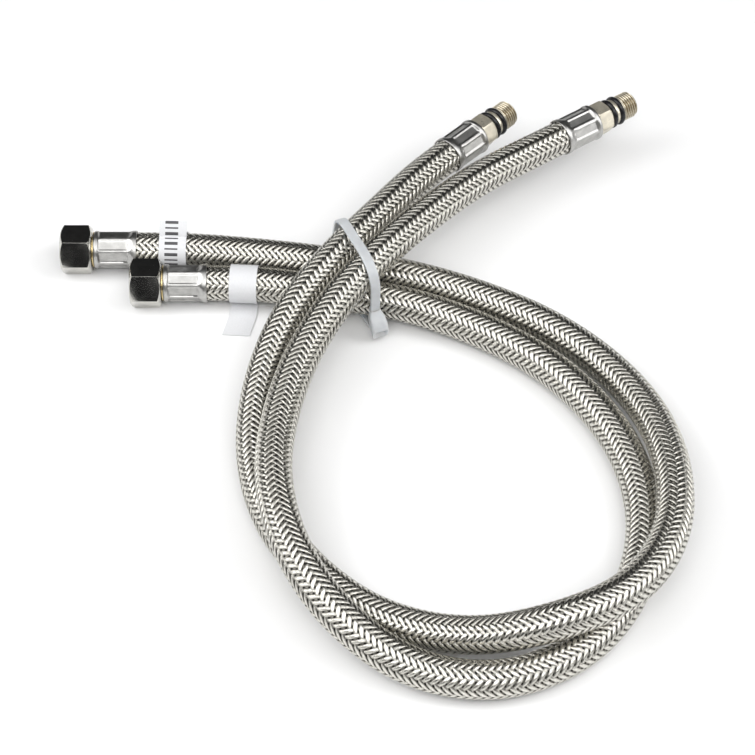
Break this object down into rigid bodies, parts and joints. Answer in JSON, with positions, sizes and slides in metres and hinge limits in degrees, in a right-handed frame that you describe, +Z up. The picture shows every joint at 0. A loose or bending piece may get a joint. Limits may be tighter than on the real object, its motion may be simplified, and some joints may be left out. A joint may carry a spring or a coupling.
{
  "type": "braided flexible tap connector",
  "caption": "Pair of stainless braided flexible supply hoses with swivel nuts and threaded O-ring tails, coiled together and held by a cable tie.",
  "frame": {"origin": "middle of the footprint, on the surface the coiled pair lies on", "axes": "+Z up from that surface, +X along the nut ends towards the hoses, +Y from the front of the loop towards the tail ends"},
  "size_m": [0.2183, 0.2657, 0.0312],
  "materials": {
    "stainless_braid": "woven flat bundles of bright wire",
    "inner_tube_rubber": "matt",
    "crimp_sleeve": "bright pressed stainless",
    "bare_brass": "turned",
    "nickel_plate": "bright nickel over brass",
    "seal_rubber": "smooth black",
    "paper_tag": "thin white paper",
    "natural_nylon": "translucent"
  },
  "bodies": {
    "hoses": {"rear_braid": "stainless_braid", "front_braid": "stainless_braid", "rear_inner_tube": "inner_tube_rubber", "front_inner_tube": "inner_tube_rubber", "rear_nut_sleeve": "crimp_sleeve", "front_nut_sleeve": "crimp_sleeve", "rear_tail_sleeve": "crimp_sleeve", "front_tail_sleeve": "crimp_sleeve", "rear_nut_stem": "bare_brass", "front_nut_stem": "bare_brass", "rear_tail": "nickel_plate", "front_tail": "nickel_plate", "rear_cone_washer": "seal_rubber", "front_cone_washer": "seal_rubber", "rear_inner_o_ring": "seal_rubber", "rear_outer_o_ring": "seal_rubber", "front_inner_o_ring": "seal_rubber", "front_outer_o_ring": "seal_rubber", "rear_tag": "paper_tag", "front_tag": "paper_tag", "cable_tie": "natural_nylon"},
    "rear_nut": {"rear_swivel_nut": "nickel_plate"},
    "front_nut": {"front_swivel_nut": "nickel_plate"}
  },
  "joints": [
    {"name": "rear_nut_swivel", "type": "hinge", "parent": "hoses", "child": "rear_nut", "pos_m": [-0.10627, 0.061, 0.00795], "axis": [-1, 0, 0], "continuous": true},
    {"name": "front_nut_swivel", "type": "hinge", "parent": "hoses", "child": "front_nut", "pos_m": [-0.08017, 0.0441, 0.00795], "axis": [-1, 0, 0], "continuous": true}
  ]
}
